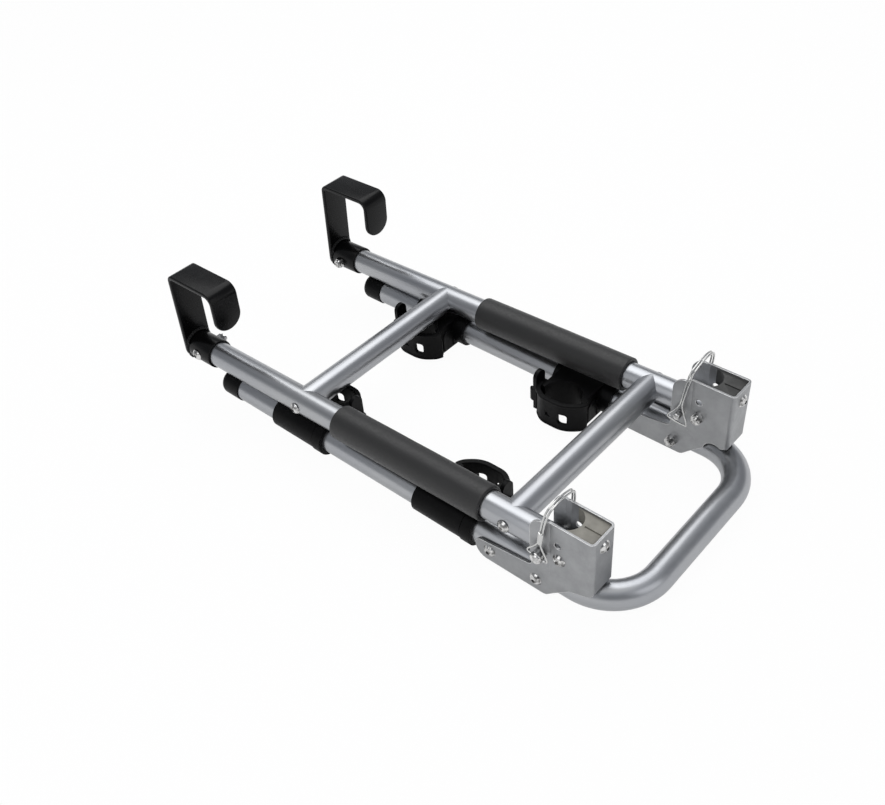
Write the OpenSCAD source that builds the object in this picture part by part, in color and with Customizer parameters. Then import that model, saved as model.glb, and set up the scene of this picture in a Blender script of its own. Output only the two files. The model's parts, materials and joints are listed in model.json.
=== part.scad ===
// Bike rack that hangs on the ladder of a camper: two side tubes with rung hooks at one end and,
// at the other, a pair of support arms with four strapped cradles that folds flat under them.
// X runs along the side tubes with the hooks at -X, Y across, Z up. The frame parts are drawn from
// the fold pivot, and the arm parts in the arm's own frame, which leans by arm_tilt about the pivot.

/* [Tubes] */
// Outside diameter of every tube
tube_od = 25.4; // [24:0.1:26]
// Wall of every tube
tube_wall = 1.6; // [1.2:0.1:2.4]
// Distance between the side tubes, centre to centre
rail_gap = 205; // [196:1:280]
// Length of a side tube from the fold pivot to its hook end
rail_run = 464; // [440:0.5:560]
// Length of a side tube past the fold pivot
rail_tail = 11; // [9:0.5:12]
// Distance from the fold pivot to the lower crossbar
lower_bar_at = 57; // [54:1:60]
// Distance from the fold pivot to the upper crossbar
upper_bar_at = 306; // [300:1:312]

/* [Grip sleeves] */
// Distance from the fold pivot to the foam sleeve
foam_at = 82; // [76:1:90]
// Length of the foam sleeve
foam_length = 174; // [120:1:200]
// Wall of the foam sleeve
foam_wall = 4; // [2.5:0.1:4.1]

/* [Hooks] */
// Width of the flat bar
hook_width = 28; // [26:0.5:34]
// Thickness of the flat bar
hook_bar = 4.5; // [4:0.1:7]
// Height of the hook's top above the side tube's axis
hook_height = 92; // [80:0.1:110]
// Distance from the back of the leg, at the side tube's axis, to the front of the lip's bend
hook_reach = 74.5; // [62:0.5:80]
// Length of the lip below the hook's top
hook_lip = 46.5; // [42:0.5:54]
// Lean of the leg, in degrees
hook_lean = 5; // [0:0.5:6]
// Fall of the top bar towards the lip, in degrees
hook_fall = 0.8; // [0:0.1:3]
// Lean of the lip's lower end towards the leg, in degrees
hook_lip_lean = 4; // [0:0.5:5]
// Outside radius of the bend over the leg
hook_back_bend = 6.5; // [6:0.5:9]
// Outside radius of the bend over the lip
hook_lip_bend = 13; // [8:0.5:16]
// Wall of the welded socket
socket_wall = 2; // [1.8:0.1:2.3]
// Length of the welded socket
socket_length = 33.5; // [24:0.5:36]

/* [Arms] */
// Gap between a side tube and the arm tube under it, at the pivot
arm_gap = 14.3; // [14:0.1:16.6]
// Lean of the folded arms towards the side tubes, in degrees
arm_tilt = 1.6; // [0:0.1:1.6]
// Distance from the pivot to the tips of the arms
arm_run = 424; // [415:0.5:430]
// Distance from the pivot to the axis of the cross piece
arm_turn_at = 53.3; // [52:0.1:80]
// Centreline radius of the two bends
arm_bend = 47.5; // [40:0.5:47.5]
// Length of an end cap
cap_length = 26; // [20:0.5:45]
// Wall of an end cap
cap_wall = 1.1; // [0.8:0.1:1.2]

/* [Brackets] */
// Thickness of the bracket sheet
sheet = 1.9; // [1.5:0.1:2.2]
// Play between a tube and the bracket's side plates
plate_play = 0.3; // [0.2:0.05:0.5]
// Height of the box above the pivot
box_top = 37.5; // [36:0.5:42]
// Distance from the pivot to the outside of the end wall
box_end = 31; // [29:0.5:34]
// How far the ears stand out
ear_flare = 1.7; // [1:0.1:2]
// Distance from the pivot to the edge of the ears
ear_edge = 27; // [26:0.5:30]
// Distance from the pivot to the tip of the tongue
tongue_tip = 86; // [84:0.5:88]
// Distance from the pivot to the rear arm bolt
rear_bolt_at = 23; // [21:0.5:25]
// Distance from the pivot to the front arm bolt
front_bolt_at = 71; // [69:0.5:73]
// Distance from the pivot to the lock pin
lock_at = 16; // [15.5:0.1:16.5]
// Angle through which the arms fold out, in degrees
fold_angle = 87; // [80:1:90]

/* [Fasteners] */
// Diameter of the bolts
bolt_d = 6; // [5:0.1:6.5]
// Diameter of the lock pins
lock_d = 6.4; // [5.5:0.1:6.6]
// Diameter of a lock pin's head
lock_head_d = 11; // [10:0.5:12]
// Diameter of the bail wire
wire_d = 1.7; // [1.4:0.1:2]
// Radius of the bail about its lock pin
bail_radius = 56; // [55:0.5:68]

/* [Cradles] */
// Distance from the fold pivot to the lower pair
lower_cradle_at = 126; // [124:1:130]
// Distance from the fold pivot to the upper pair
upper_cradle_at = 309; // [305:1:312]
// Wall of the cradle's sleeve
sleeve_wall = 3.3; // [2.8:0.1:3.6]
// Length of the cradle's sleeve
sleeve_length = 66; // [60:1:68]
// Width of the saddle and its strap
saddle_width = 32; // [28:0.5:32]
// Radius of the trough that the bicycle's tube lies in
trough_radius = 19.5; // [16:0.5:20]
// Distance from the arm's axis to the outside of the strap
strap_reach = 53; // [51:0.5:56]
// Thickness of the strap
strap_wall = 3.5; // [2.5:0.1:4]

/* [Hidden] */

$fn = 64;
past = 1;                              // how far a cutter runs past a face
tube_r = tube_od / 2;
rail_y = rail_gap / 2;
foam_od = tube_od + 2 * foam_wall;
socket_od = tube_od + 2 * socket_wall;
sleeve_od = tube_od + 2 * sleeve_wall;
arm_drop = tube_od + arm_gap;
hook_back = -rail_run - hook_bar - 2;  // back of the hook's leg, with a gap behind the side tube's end
seat_gap = 0.3;                        // gap between two moving faces that seat on each other
fit_gap = 0.05;                        // gap round a pin that turns in its hole

// Bracket, measured from the tube's axis and the pivot
plate_in = tube_r + plate_play;
plate_out = plate_in + sheet;
ear_out = plate_out + ear_flare;
bend_in = 2.2;                         // inside radius of the two upright bends
step_from = 15.4;                      // the sloped step between an ear and the box
step_to = 9;
flare_low = -22;                       // where the ears leave the plate and reach full flare
flare_high = 2;
box_bottom = -24;
tongue_bottom = arm_drop + tube_r - 0.3;
lock_x = -lock_at * cos(arm_tilt);     // lock pin, in the middle of the folded side tube
lock_z = -lock_at * sin(arm_tilt);
free_angle = 180 + arm_tilt - fold_angle; // side tube's direction, seen from the unfolded arm
bail_out = ear_out + 5;                // the bail's distance from the tube's axis
bail_lean = 7;                         // lean of the folded bail towards the box

// Bolts
head_d = 2 * bolt_d;
head_h = 0.55 * bolt_d;
nut_across = 10 * bolt_d / 6;
nut_h = bolt_d;
recess_across = 4 * bolt_d / 6;

// Cradle, with its middle on the arm's axis, the strap towards +Y and the post at +X
sleeve_r = sleeve_od / 2;
bore_r = tube_r + 0.15;
sleeve_from = -sleeve_length / 2;
sleeve_to = sleeve_length / 2 - 11;    // the collar takes the rest
collar_length = 10;
collar_r = sleeve_r + 0.8;
lug_r = sleeve_r + 1.9;                // the collar's lug, on the side away from the side tube
post_wall = 4;
post_width = 14;
peg_d = 4;
trough_x = 3.5;                        // the trough's middle
trough_y = sleeve_r + 3.5 + trough_radius;
saddle_left = trough_x - trough_radius - post_wall;
saddle_right = trough_x + trough_radius + post_wall;
hinge_x = saddle_left + 1.6;
hinge_y = trough_y - 5;
hinge_pin_r = 1.7;
hinge_barrel_r = 3.5;
lug_height = 4;
post_top = 12;                         // height of the post above the saddle
strap_gap = 0.6;                       // between the strap's end and what it lies between
post_in = saddle_right + strap_wall + 2 * strap_gap;
post_out = post_in + post_wall;

// Where the origin lies: under the middle of the whole rack
x_low = hook_back - hook_width / 2 * tan(hook_lean);
x_high = arm_turn_at * cos(arm_tilt) - arm_drop * sin(arm_tilt) + tube_r;
lug_at = lower_cradle_at - sleeve_length / 2 - seat_gap;
pivot_x = -(x_low + x_high) / 2;
pivot_z = (arm_drop + lug_r) * cos(arm_tilt) - lug_at * sin(arm_tilt);

steel = "silver";
sheet_steel = "darkgray";
black = "dimgray";
bright = "whitesmoke";

// Outlines: a path is a list of [x, y, r] corners, where r is the corner's radius
function unit(v) = v / norm(v);
function xy(p) = [p[0], p[1]];
function turn_left(v) = [-v[1], v[0]];
function cross2(u, v) = u[0] * v[1] - u[1] * v[0];
function meet(p, u, q, v) = p + u * cross2(q - p, v) / cross2(u, v);
function spin(v, a) = [v[0] * cos(a) - v[1] * sin(a), v[0] * sin(a) + v[1] * cos(a)];
function reversed(list) = [for (i = [len(list) - 1 : -1 : 0]) list[i]];

// Points of the arc that rounds the corner p between a and b
function fillet(a, p, b, r, steps = 8) =
    let (u = unit(a - p), v = unit(b - p), half = acos(u * v) / 2)
    r < 0.01 || half > 89.9 ? [p] :
    let (centre = p + unit(u + v) * r / sin(half),
        start = p + u * r / tan(half) - centre,
        way = cross2(u, v) > 0 ? -1 : 1)
    [for (k = [0 : steps]) centre + spin(start, way * (180 - 2 * half) * k / steps)];

// Closed outline with its corners rounded
function rounded(path) =
    let (n = len(path))
    [for (i = [0 : n - 1])
        each fillet(xy(path[(i + n - 1) % n]), xy(path[i]), xy(path[(i + 1) % n]), path[i][2])];

// Open path moved to its left by d, with each corner's radius grown or shrunk to match
function moved(path, d) =
    let (last = len(path) - 1)
    [for (i = [0 : last])
        let (p = xy(path[i]),
            into = unit(i == 0 ? xy(path[1]) - p : p - xy(path[i - 1])),
            out = unit(i == last ? into : xy(path[i + 1]) - p),
            bend = cross2(into, out),
            q = abs(bend) < 0.001 ? p + turn_left(into) * d
                : meet(p + turn_left(into) * d, into, p + turn_left(out) * d, out))
        [q[0], q[1], max(0, path[i][2] + (bend > 0 ? -d : d))]];

function open_rounded(path) =
    let (last = len(path) - 1)
    [xy(path[0]),
        for (i = [1 : last - 1]) each fillet(xy(path[i - 1]), xy(path[i]), xy(path[i + 1]), path[i][2]),
        xy(path[last])];

// Outline of a strip that has the path on its right side and the thickness t to its left
function strip(path, t) = concat(open_rounded(path), reversed(open_rounded(moved(path, t))));

// Cylinders along X and along Y, and a plate drawn in XZ and centred on Y
module along_x(x, d, length) translate([x, 0, 0]) rotate([0, 90, 0]) cylinder(d = d, h = length);
module along_y(d, length) rotate([90, 0, 0]) cylinder(d = d, h = length, center = true);
module plate_xz(width) rotate([90, 0, 0]) linear_extrude(width, center = true) children();

// Frames of reference, and the two sides: left is +Y
module frame_place() translate([pivot_x, 0, pivot_z]) children();
module arm_place() translate([pivot_x, 0, pivot_z]) rotate([0, arm_tilt, 0]) children();
module side(s) mirror([0, s > 0 ? 0 : 1, 0]) translate([0, rail_y, 0]) children();

// Button-head bolt along -Y with its head's seat at y = 0, and a lock nut past the grip
module bolt(d, grip, nut = true) {
    rotate([90, 0, 0]) {
        difference() {
            intersection() {
                translate([0, 0, -head_h]) cylinder(d = 2 * d, h = head_h);
                translate([0, 0, d * 0.66]) sphere(r = d * 1.21);
            }
            translate([0, 0, -head_h - past]) cylinder(d = recess_across, h = past + head_h * 0.6, $fn = 6);
        }
        cylinder(d = d, h = grip + (nut ? nut_h + 1.5 : 0));
        if (nut) translate([0, 0, grip]) lock_nut(d);
    }
}

module lock_nut(d) {
    cylinder(d = nut_across / cos(30), h = nut_h * 0.7, $fn = 6);
    translate([0, 0, nut_h * 0.7]) cylinder(d = nut_across * 0.92, h = nut_h * 0.3);
}

// Slot that lets a lock pin swing round the pivot while the side tube stands still
module lock_slot() {
    slot_r = lock_d / 2 + 0.5;
    plate_xz(tube_od + 2 * past) {
        intersection() {
            difference() {
                circle(lock_at + slot_r);
                circle(lock_at - slot_r);
            }
            polygon([[0, 0], [-3 * lock_at, 0], [-3 * lock_at, -3 * lock_at],
                3 * lock_at * [cos(180 + fold_angle), sin(180 + fold_angle)]]);
        }
        for (a = [180, 180 + fold_angle])
            translate(lock_at * [cos(a), sin(a)]) circle(slot_r);
    }
}

module rail(s) {
    color(steel) frame_place() side(s) difference() {
        along_x(-rail_run, tube_od, rail_run + rail_tail);
        along_x(-rail_run - past, tube_od - 2 * tube_wall, rail_run + rail_tail + 2 * past);
        along_y(bolt_d + 2 * fit_gap, tube_od + 2 * past);
        lock_slot();
        for (x = [lower_bar_at, upper_bar_at, hook_bolt_at()])
            translate([-x, 0, 0]) along_y(bolt_d + 0.4, tube_od + 2 * past);
    }
}

function hook_bolt_at() = rail_run - 12.5;

// Crossbar coped to the side tubes, with a plug in each end that takes the bolt
module crossbar(at) {
    bolt_end = rail_y - 34;
    color(steel) frame_place() translate([-at, 0, 0]) difference() {
        along_y(tube_od, rail_gap);
        along_y(tube_od - 2 * tube_wall, 2 * bolt_end);
        for (s = [-1, 1]) {
            translate([0, s * rail_y, 0]) along_x(-tube_od, tube_od, 2 * tube_od);
            translate([0, s * (rail_y - 15), 0]) along_y(bolt_d, 30);
        }
    }
}

module foam(s) {
    color(black) frame_place() side(s) difference() {
        along_x(-foam_at - foam_length, foam_od, foam_length);
        along_x(-foam_at - foam_length - past, tube_od, foam_length + 2 * past);
    }
}

// Hook: a flat bar bent over the rung, its ends rounded, and a socket welded to its leg
module hook(s) {
    function leg_x(z) = hook_back + z * tan(hook_lean);
    top_x = leg_x(hook_height);
    front = hook_back + hook_reach;
    front_top = hook_height - (front - top_x) * tan(hook_fall);
    lip_end = hook_height - hook_lip;
    weld = 3;
    outer = [
        [leg_x(-hook_width), -hook_width, 0],
        [top_x, hook_height, hook_back_bend],
        [front, front_top, hook_lip_bend],
        [front - hook_lip * tan(hook_lip_lean), lip_end, 0]
    ];
    color(black) frame_place() side(s) {
        difference() {
            plate_xz(hook_width) polygon(strip(moved(outer, -hook_bar), hook_bar));
            bar_end(hook_back - 3 * hook_bar, 6 * hook_bar, 0);
            bar_end(front - 3 * hook_bar, 4 * hook_bar, lip_end + hook_width / 2);
        }
        difference() {
            union() {
                along_x(hook_back + hook_bar / 2, socket_od, socket_length + hook_bar / 2);
                along_x(hook_back + hook_bar, socket_od + weld, weld / 2);
            }
            along_x(hook_back + hook_bar, tube_od, socket_length + past);
            translate([-hook_bolt_at(), 0, 0]) along_y(bolt_d + 0.4, socket_od + 2 * past);
        }
    }
}

// Cuts all of a bar below z but a half round end
module bar_end(x, depth, z) {
    translate([x, 0, z]) difference() {
        translate([0, -hook_width, -3 * hook_width]) cube([depth, 2 * hook_width, 3 * hook_width]);
        translate([-past, 0, 0]) rotate([0, 90, 0]) cylinder(d = hook_width, h = depth + 2 * past);
    }
}

module hook_bolt(s) {
    color(bright) frame_place() side(s)
        translate([-hook_bolt_at(), socket_od / 2, 0]) bolt(bolt_d, socket_od);
}

module crossbar_bolt(s, at) {
    color(bright) frame_place() side(s)
        translate([-at, tube_r, 0]) bolt(bolt_d, tube_od + 12, false);
}

// One bent tube: two legs, two quarter bends and the cross piece
module arm_bend_solid(d, reach) {
    bend_x = arm_turn_at - arm_bend;
    bend_y = rail_y - arm_bend;
    for (s = [-1, 1]) {
        translate([0, s * rail_y, 0]) along_x(-reach, d, reach + bend_x);
        translate([bend_x, s * bend_y, 0])
            rotate([0, 0, s > 0 ? 0 : -90])
                rotate_extrude(angle = 90) translate([arm_bend, 0]) circle(d = d);
    }
    translate([arm_turn_at, 0, 0]) along_y(d, 2 * bend_y);
}

module arm_tube() {
    tube_end = arm_run - 3;
    color(steel) arm_place() translate([0, 0, -arm_drop]) difference() {
        arm_bend_solid(tube_od, tube_end);
        arm_bend_solid(tube_od - 2 * tube_wall, tube_end + past);
        for (s = [-1, 1], x = [front_bolt_at, rear_bolt_at])
            translate([-x, s * rail_y, 0]) along_y(bolt_d + 0.4, tube_od + 2 * past);
    }
}

// End cap: a cup turned about the arm's axis, with a rounded end
module cap(s) {
    cap_r = tube_r + cap_wall;
    edge = 6;
    profile = rounded([
        [0, 0, 0], [cap_r, 0, edge], [cap_r, cap_length, 0.4],
        [tube_r, cap_length, 0], [tube_r, 3, 0], [0, 3, 0]
    ]);
    color(black) arm_place() side(s) translate([-arm_run, 0, -arm_drop])
        rotate([0, 90, 0]) rotate_extrude() polygon(profile);
}

// Side view of the bracket: box, ear and tongue, from the tongue's tip round by the top
function bracket_side() = rounded([
    [-tongue_tip, -arm_drop + 7.5, 7], [-ear_edge - 3, -arm_drop + 14.5, 6],
    [-ear_edge, -arm_drop + 17, 4], [-ear_edge, box_top - 2, 13], [-step_to - 4, box_top - 2, 1.5],
    [-step_to - 1, box_top, 1.5], [box_end, box_top, 0],
    [box_end, box_bottom + 1.5, 1.5], [10.7, box_bottom - 6, 6], [-4.5, -arm_drop - 3.8, 9],
    [-13, -tongue_bottom, 8], [-tongue_tip, -tongue_bottom, 12]
]);

// Plan of the sheet round the box, and of the sheet where the ears stand out
module sheet_plan(flare) {
    x_in = box_end - sheet;
    side_path = [[-tongue_tip, plate_in + flare, 0], [-step_from, plate_in + flare, 2],
        [-step_to, plate_in, 2], [x_in, plate_in, bend_in]];
    far_side = [for (p = reversed(side_path)) [p[0], -p[1], p[2]]];
    polygon(strip(concat(side_path, far_side), sheet));
}

// Ear's plate seen along X, leaning out from the flat plate below to its full flare
module ear_plate() {
    path = [[plate_in, -arm_drop - tube_od, 0], [plate_in, flare_low, 6],
        [plate_in + ear_flare, flare_high, 6], [plate_in + ear_flare, box_top + past, 0]];
    translate([-ear_edge - past, 0, 0]) rotate([90, 0, 90])
        linear_extrude(ear_edge + past - step_from) polygon(strip(moved(path, -sheet), sheet));
}

// Step between the ear and the box, growing from nothing at flare_low to its full depth
module step_blend() {
    hull() {
        translate([0, 0, flare_low]) linear_extrude(0.01) polygon([
            [-step_from, plate_in], [-step_to, plate_in], [-step_to, plate_out], [-step_from, plate_out]]);
        translate([0, 0, flare_high]) linear_extrude(0.01) polygon([
            [-step_from, plate_in + ear_flare], [-step_to, plate_in],
            [-step_to, plate_out], [-step_from, ear_out]]);
    }
}

module bracket(s) {
    color(sheet_steel) arm_place() side(s) difference() {
        intersection() {
            union() {
                translate([0, 0, -arm_drop - tube_od])
                    linear_extrude(arm_drop + tube_od + flare_low) sheet_plan(0);
                translate([0, 0, flare_low]) linear_extrude(flare_high - flare_low) difference() {
                    sheet_plan(0);
                    translate([-2 * ear_edge, -ear_out]) square([2 * ear_edge - step_to, 2 * ear_out]);
                }
                translate([0, 0, flare_high]) linear_extrude(box_top + past - flare_high)
                    sheet_plan(ear_flare);
                for (m = [0, 1]) mirror([0, m, 0]) {
                    ear_plate();
                    step_blend();
                }
            }
            plate_xz(4 * plate_out) polygon(bracket_side());
        }
        along_y(bolt_d + 2 * fit_gap, 3 * plate_out);
        translate([lock_x, 0, lock_z]) along_y(lock_d + 2 * fit_gap, 3 * plate_out);
        translate(lock_at * [cos(free_angle), 0, sin(free_angle)])
            along_y(lock_d + 2 * fit_gap, 3 * plate_out);
        for (x = [front_bolt_at, rear_bolt_at])
            translate([-x, 0, -arm_drop]) along_y(bolt_d + 0.4, 3 * plate_out);
        translate([0, 0, screw_z()]) along_x(0, bolt_d + 0.4, 2 * box_end);
        translate([17.7, -plate_out, box_bottom - 9]) along_y(20, 2 * sheet);
    }
}

function screw_z() = box_top - 12.5;

// Seat block in the box: a half round seat for the unfolded side tube, held by the end screw
module seat(s) {
    block_low = screw_z() - 5.5;
    block_top = box_top - 5;
    axis_lean = 90 - free_angle;
    color("rosybrown") arm_place() side(s) difference() {
        translate([-2, -plate_in, block_low])
            cube([box_end - sheet + 2, 2 * plate_in, block_top - block_low]);
        rotate([0, axis_lean, 0]) cylinder(r = tube_r + seat_gap, h = 2 * box_top);
        rotate([0, axis_lean, 0]) translate([-2 * box_end, -2 * plate_in, 0])
            cube([2 * box_end, 4 * plate_in, 2 * box_top]);
        for (m = [0, 1]) mirror([0, m, 0])
            translate([box_end - sheet, plate_in, 0]) upright_corner(bend_in);
        translate([0, 0, screw_z()]) along_x(0, bolt_d, 2 * box_end);
        translate([tube_r, -0.5, block_top - 0.8]) cube([box_end, 1, 2]);
    }
}

// Cutter that rounds an upright corner which points to +X and +Y
module upright_corner(r) {
    translate([-r, -r, 0]) difference() {
        cube([r + past, r + past, 2 * box_top]);
        translate([0, 0, -past]) cylinder(r = r, h = 2 * box_top + 2 * past);
    }
}

module seat_screw(s) {
    color(bright) arm_place() side(s) translate([box_end, 0, screw_z()])
        rotate([0, 0, -90]) bolt(bolt_d, 12, false);
}

module arm_bolt(s, at) {
    color(bright) arm_place() side(s) translate([-at, plate_out, -arm_drop]) bolt(bolt_d, 2 * plate_out);
}

module pivot_bolt(s) {
    color(bright) arm_place() side(s) translate([0, plate_out, 0]) bolt(bolt_d, 2 * plate_out);
}

// Lock pin: a domed head outside with a cross hole for the bail's ends, and a rounded tip inside
module lock_pin(s) {
    tip = ear_out + 10;
    head = ear_out + 0.3;
    profile = rounded([
        [0, -tip, 0], [lock_d / 2, -tip, 1.2], [lock_d / 2, head, 0],
        [lock_head_d / 2, head, 1], [lock_head_d / 2, head + 9, 3], [0, head + 9.3, 0]
    ]);
    color(bright) arm_place() side(s) translate([lock_x, 0, lock_z]) difference() {
        rotate([-90, 0, 0]) rotate_extrude() polygon(profile);
        rotate([0, bail_lean, 0]) translate([0, bail_out, 0])
            along_x(-lock_head_d, wire_d + 2 * fit_gap, 2 * lock_head_d);
    }
}

// Half of the bail's wire, from the head's cross hole over the bracket to the loop round the tip.
// The two halves run side by side, m = -1 and m = 1, and meet at the foot of the loop. Heights are
// shares of the bail's radius, and the loops round the head and the tip go with the head's size.
function bail_half(m) =
    let (near = m * 0.7 * wire_d, u = lock_head_d / 11, h = bail_radius)
    [
        [m * 1.5 * u, bail_out, 0], [m * 7.4 * u, bail_out, 0], [m * 9.2 * u, bail_out, 0.9 * u],
        [m * 9.4 * u, bail_out, 2.6 * u], [m * 8.6 * u, bail_out, 4.2 * u],
        [m * 2.4 * u, bail_out, 14 * u], [near, bail_out, 18 * u],
        [near, bail_out - 1, 0.5 * h], [near, bail_out - 3, 0.8 * h], [near, bail_out - 5.4, 0.9 * h],
        [near, bail_out - 11.5, 0.97 * h], [near, 0, h], [near, 11.5 - bail_out, 0.97 * h],
        [near, 5.4 - bail_out, 0.9 * h], [near, 3 - bail_out, 0.8 * h], [near, 1 - bail_out, 0.5 * h],
        [near, -bail_out, 13 * u], [m * 2.4 * u, -bail_out, 8 * u],
        [m * 9.5 * u, -bail_out, -6.5 * u], [m * 9.2 * u, -bail_out, -8.2 * u],
        [m * 7 * u, -bail_out, -8.8 * u]
    ];

// Tube swept along points: each ring is turned on from the last, so that it doesn't twist
function heading(pts, i) =
    let (last = len(pts) - 1)
    unit(unit(pts[min(i + 1, last)] - pts[min(i, last - 1)]) + unit(pts[max(i, 1)] - pts[max(i - 1, 0)]));
function carried(pts, i, n) = i == len(pts) ? [] :
    let (h = heading(pts, i), side_way = unit(n - h * (n * h)))
    concat([side_way], carried(pts, i + 1, side_way));
function ring(p, h, n, r, sides) =
    let (b = cross(h, n))
    [for (k = [0 : sides - 1]) p + r * (n * cos(360 * k / sides) + b * sin(360 * k / sides))];

module wire(pts, r, sides = 8) {
    last = len(pts) - 1;
    normals = carried(pts, 0, [0.3, 0.1, 1]);
    points = [for (i = [0 : last]) each ring(pts[i], heading(pts, i), normals[i], r, sides)];
    wall = [for (i = [0 : last - 1], k = [0 : sides - 1], t = [0, 1])
        let (a = i * sides + k, b = i * sides + (k + 1) % sides)
        t == 0 ? [a, a + sides, b] : [b, a + sides, b + sides]];
    ends = [[for (k = [0 : sides - 1]) k], [for (k = [sides - 1 : -1 : 0]) last * sides + k]];
    polyhedron(points, concat(wall, ends));
}

module bail(s) {
    route = concat(bail_half(-1), reversed(bail_half(1)));
    color(bright) arm_place() side(s) translate([lock_x, 0, lock_z]) rotate([0, bail_lean, 0])
        wire(route, wire_d / 2);
}

// Cradle: a sleeve that turns on the arm, a saddle with a trough and the post that holds the strap
module cradle_solid() {
    half = saddle_width / 2;
    wall_top = hinge_y - hinge_barrel_r - 0.4;
    difference() {
        union() {
            along_x(sleeve_from, sleeve_od, sleeve_to - sleeve_from);
            along_x(sleeve_to - past, sleeve_od - 1.6, sleeve_length / 2 - sleeve_to);
            along_x(sleeve_length / 2 - collar_length, 2 * collar_r, collar_length + 0.3);
            translate([sleeve_length / 2 - 5.7, 0, -lug_r + 6]) rotate([0, 90, 0]) cylinder(r = 6, h = 6);
            side_arch();
            translate([0, 0, -half]) linear_extrude(saddle_width) difference() {
                polygon(rounded([[saddle_left, 0, 0], [saddle_right, 0, 0],
                    [saddle_right, trough_y + 1, 1.8], [trough_x, trough_y + 1, 0],
                    [saddle_left + 2 * post_wall, wall_top, 0], [saddle_left, wall_top, 0.5]]));
                translate([trough_x, trough_y]) circle(trough_radius);
                translate([trough_x - trough_radius, trough_y]) square([2 * trough_radius, trough_radius]);
            }
            for (z = [-half, half - lug_height]) translate([0, 0, z])
                linear_extrude(lug_height) difference() {
                    union() {
                        translate([hinge_x, hinge_y]) circle(hinge_barrel_r);
                        translate([saddle_left, 0]) square([2 * hinge_barrel_r - hinge_pin_r, hinge_y]);
                    }
                    translate([trough_x, trough_y]) circle(trough_radius);
                }
            translate([hinge_x, hinge_y, 0]) cylinder(r = hinge_pin_r, h = saddle_width - 1, center = true);
            post();
        }
        along_x(-sleeve_length, 2 * bore_r, 2 * sleeve_length);
    }
}

// Raised arch on the side wall of the saddle
module side_arch() {
    half = 6;
    top = hinge_y - hinge_barrel_r - strap_gap;
    translate([saddle_left, top - half - 3, -2]) rotate([0, 0, 90]) plate_xz(2) difference() {
        arch(half + 3, -12, 11);
        arch(half, -13, 8);
    }
}

// Outline with a flat foot and a round top
module arch(half, foot, top) {
    polygon(rounded([[-half, foot, 0.5], [half, foot, 0.5], [half, top, half - 1], [-half, top, half - 1]]));
}

// Post outside the strap's end, taller than the saddle and rounded at the top. A web joins it to the
// saddle, the strap's end hooks over its peg, and a curled lip stands out for the fingers.
module post() {
    half = saddle_width / 2;
    y_mid = trough_y - 4;
    y_low = y_mid - post_width / 2;
    translate([saddle_right - past, y_low, -half])
        cube([post_in - saddle_right + 2 * past, y_mid - strap_gap - y_low, saddle_width - 2]);
    translate([post_in, y_low, -half])
        cube([post_wall, post_width, saddle_width + post_top - post_width / 2]);
    translate([post_in, y_mid, half + post_top - post_width / 2])
        rotate([0, 90, 0]) cylinder(d = post_width, h = post_wall);
    translate([0, trough_y, 0]) along_x(saddle_right + 2 * strap_gap, peg_d, strap_wall + past);
    curled_lip(y_mid);
}

// Lip on the post's outer face
module curled_lip(y_mid) {
    height = 13;
    path = [[post_out - 1, y_mid + 3, 0], [post_out + 2.5, y_mid + 8, 3],
        [post_out + 4.5, y_mid + 1, 0]];
    intersection() {
        translate([0, 0, -height / 2 - 1]) linear_extrude(height) polygon(strip(path, 2.4));
        translate([post_out, y_mid, -1]) along_y(1.35 * height, 2 * post_width);
    }
}

// Strap: a rubber band round the trough with a thick rim, hinged at its root and notched for the peg
module strap_solid() {
    half = saddle_width / 2;
    band_y = strap_reach - strap_wall;
    end_x = saddle_right + strap_gap;
    root_x = hinge_x - strap_wall / 2;
    barrel = saddle_width - 2 * lug_height - 0.6;
    notch_d = peg_d + 0.8;
    path = [[end_x, trough_y - 4, 0], [end_x, trough_y + 3, 9], [end_x - 10, band_y, 14],
        [root_x + 10, band_y, 14], [root_x, trough_y + 3, 9], [root_x, hinge_y + 2, 0]];
    difference() {
        union() {
            strap_band(path, -half, saddle_width, 0);
            strap_band(path, half - 2.5, 2.5, 1.5);
            strap_band(path, -half, 2, 0.8);
            translate([hinge_x, hinge_y, 0]) cylinder(r = hinge_barrel_r, h = barrel, center = true);
        }
        translate([hinge_x, hinge_y, 0])
            cylinder(r = hinge_pin_r + fit_gap, h = saddle_width + 4, center = true);
        for (z = [-half - past, half - lug_height - 0.3]) translate([hinge_x, hinge_y, z])
            cylinder(r = hinge_barrel_r + 0.4, h = lug_height + 0.3 + past);
        translate([end_x + strap_wall, hinge_y, -saddle_width])
            cube([2 * strap_wall, trough_y + 4.2 - hinge_y, 2 * saddle_width]);
        translate([end_x - past, trough_y - notch_d, -notch_d / 2])
            cube([strap_wall + 2 * past, notch_d, notch_d]);
        translate([0, trough_y, 0]) along_x(end_x - past, notch_d, strap_wall + 2 * past);
        translate([13, strap_reach, -1]) along_y(6, 3 * strap_wall);
        translate([-5.5, strap_reach, -2]) strap_window(12, 14, 4);
    }
}

// Band along the path, from z up by its height, that stands out past the strap by proud
module strap_band(path, z, height, proud) {
    wall = strap_wall + proud;
    translate([0, 0, z]) linear_extrude(height) polygon(strip(moved(path, -wall), wall));
}

module strap_window(width, height, r) {
    plate_xz(3 * strap_wall) polygon(rounded([
        [-width / 2, -height / 2, r], [width / 2, -height / 2, r],
        [width / 2, height / 2, r], [-width / 2, height / 2, r]]));
}

// Puts a cradle's shape on an arm: the left ones are the right ones turned round
module cradle_place(s, at) {
    arm_place() translate([-at, s * rail_y, -arm_drop]) rotate([0, 0, s > 0 ? 180 : 0]) children();
}

module cradle(s, at) color(black) cradle_place(s, at) cradle_solid();
module strap(s, at) color("gray") cradle_place(s, at) strap_solid();

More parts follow.
